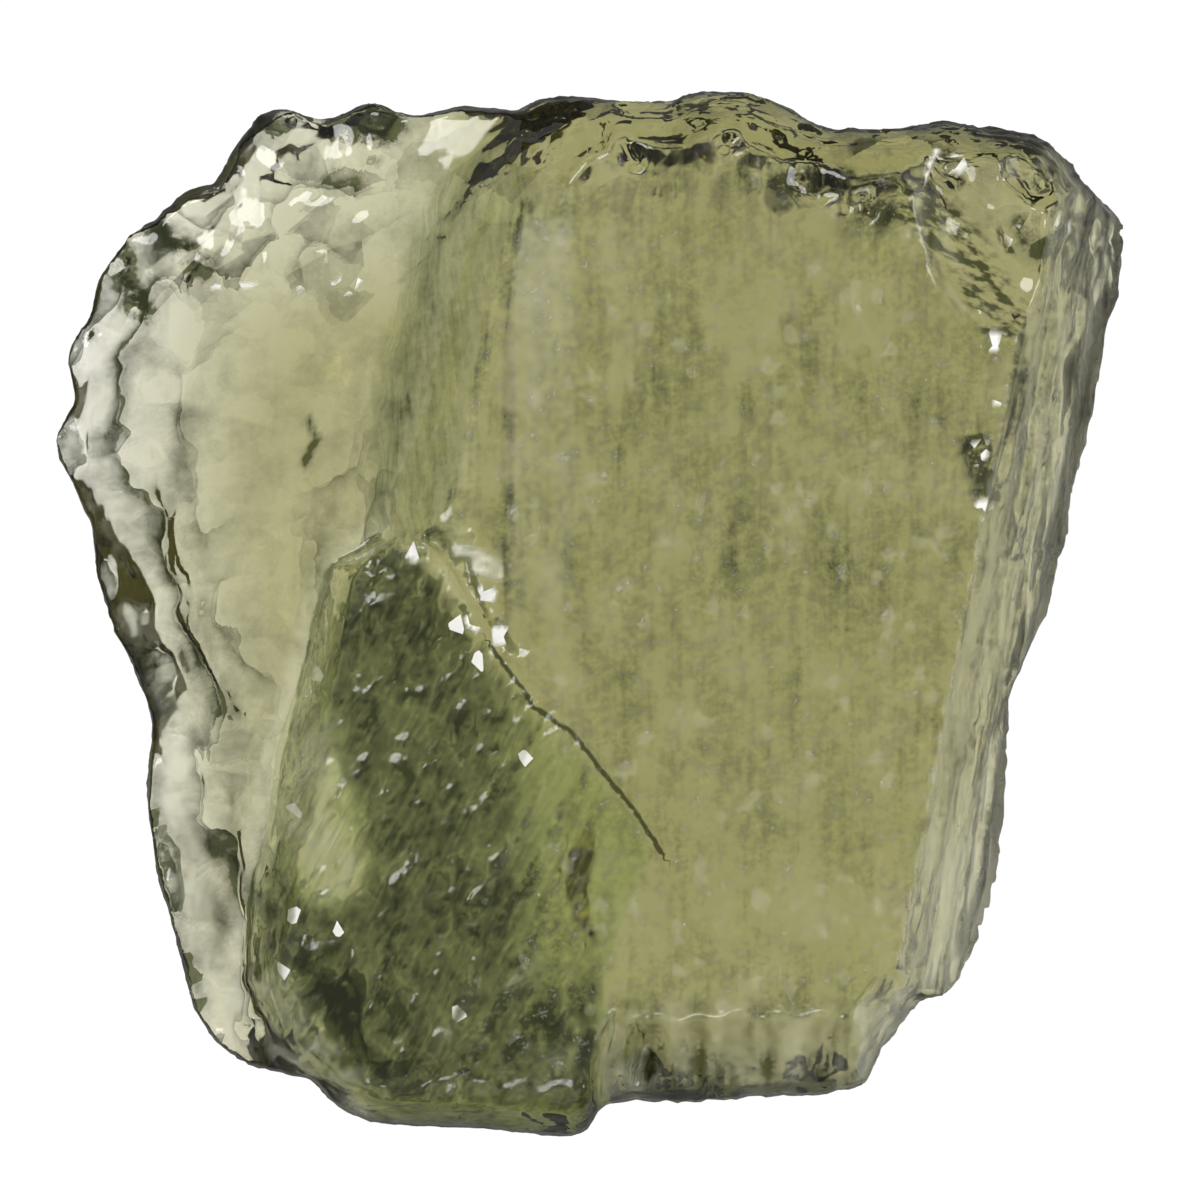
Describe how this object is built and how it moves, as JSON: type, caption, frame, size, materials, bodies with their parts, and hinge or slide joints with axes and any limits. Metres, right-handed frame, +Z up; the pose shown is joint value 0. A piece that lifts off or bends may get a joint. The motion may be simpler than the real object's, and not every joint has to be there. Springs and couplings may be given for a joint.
{
  "type": "moldavite",
  "caption": "Broken piece of clear olive-green natural glass with a flat satin face, a thin scalloped rim, a rough dark corner and a fluted bevel, lying on its back.",
  "frame": {"origin": "on the resting face, under the middle of the piece's bounding box", "axes": "+Z up out of the broad face, +X to the right and +Y to the crown as the broad face is looked down on"},
  "size_m": [0.0214, 0.021, 0.0069],
  "materials": {
    "moldavite": "clear olive-green glass, satin on the broad face and polished in the chips"
  },
  "bodies": {
    "root": {"moldavite": "moldavite"}
  },
  "joints": []
}
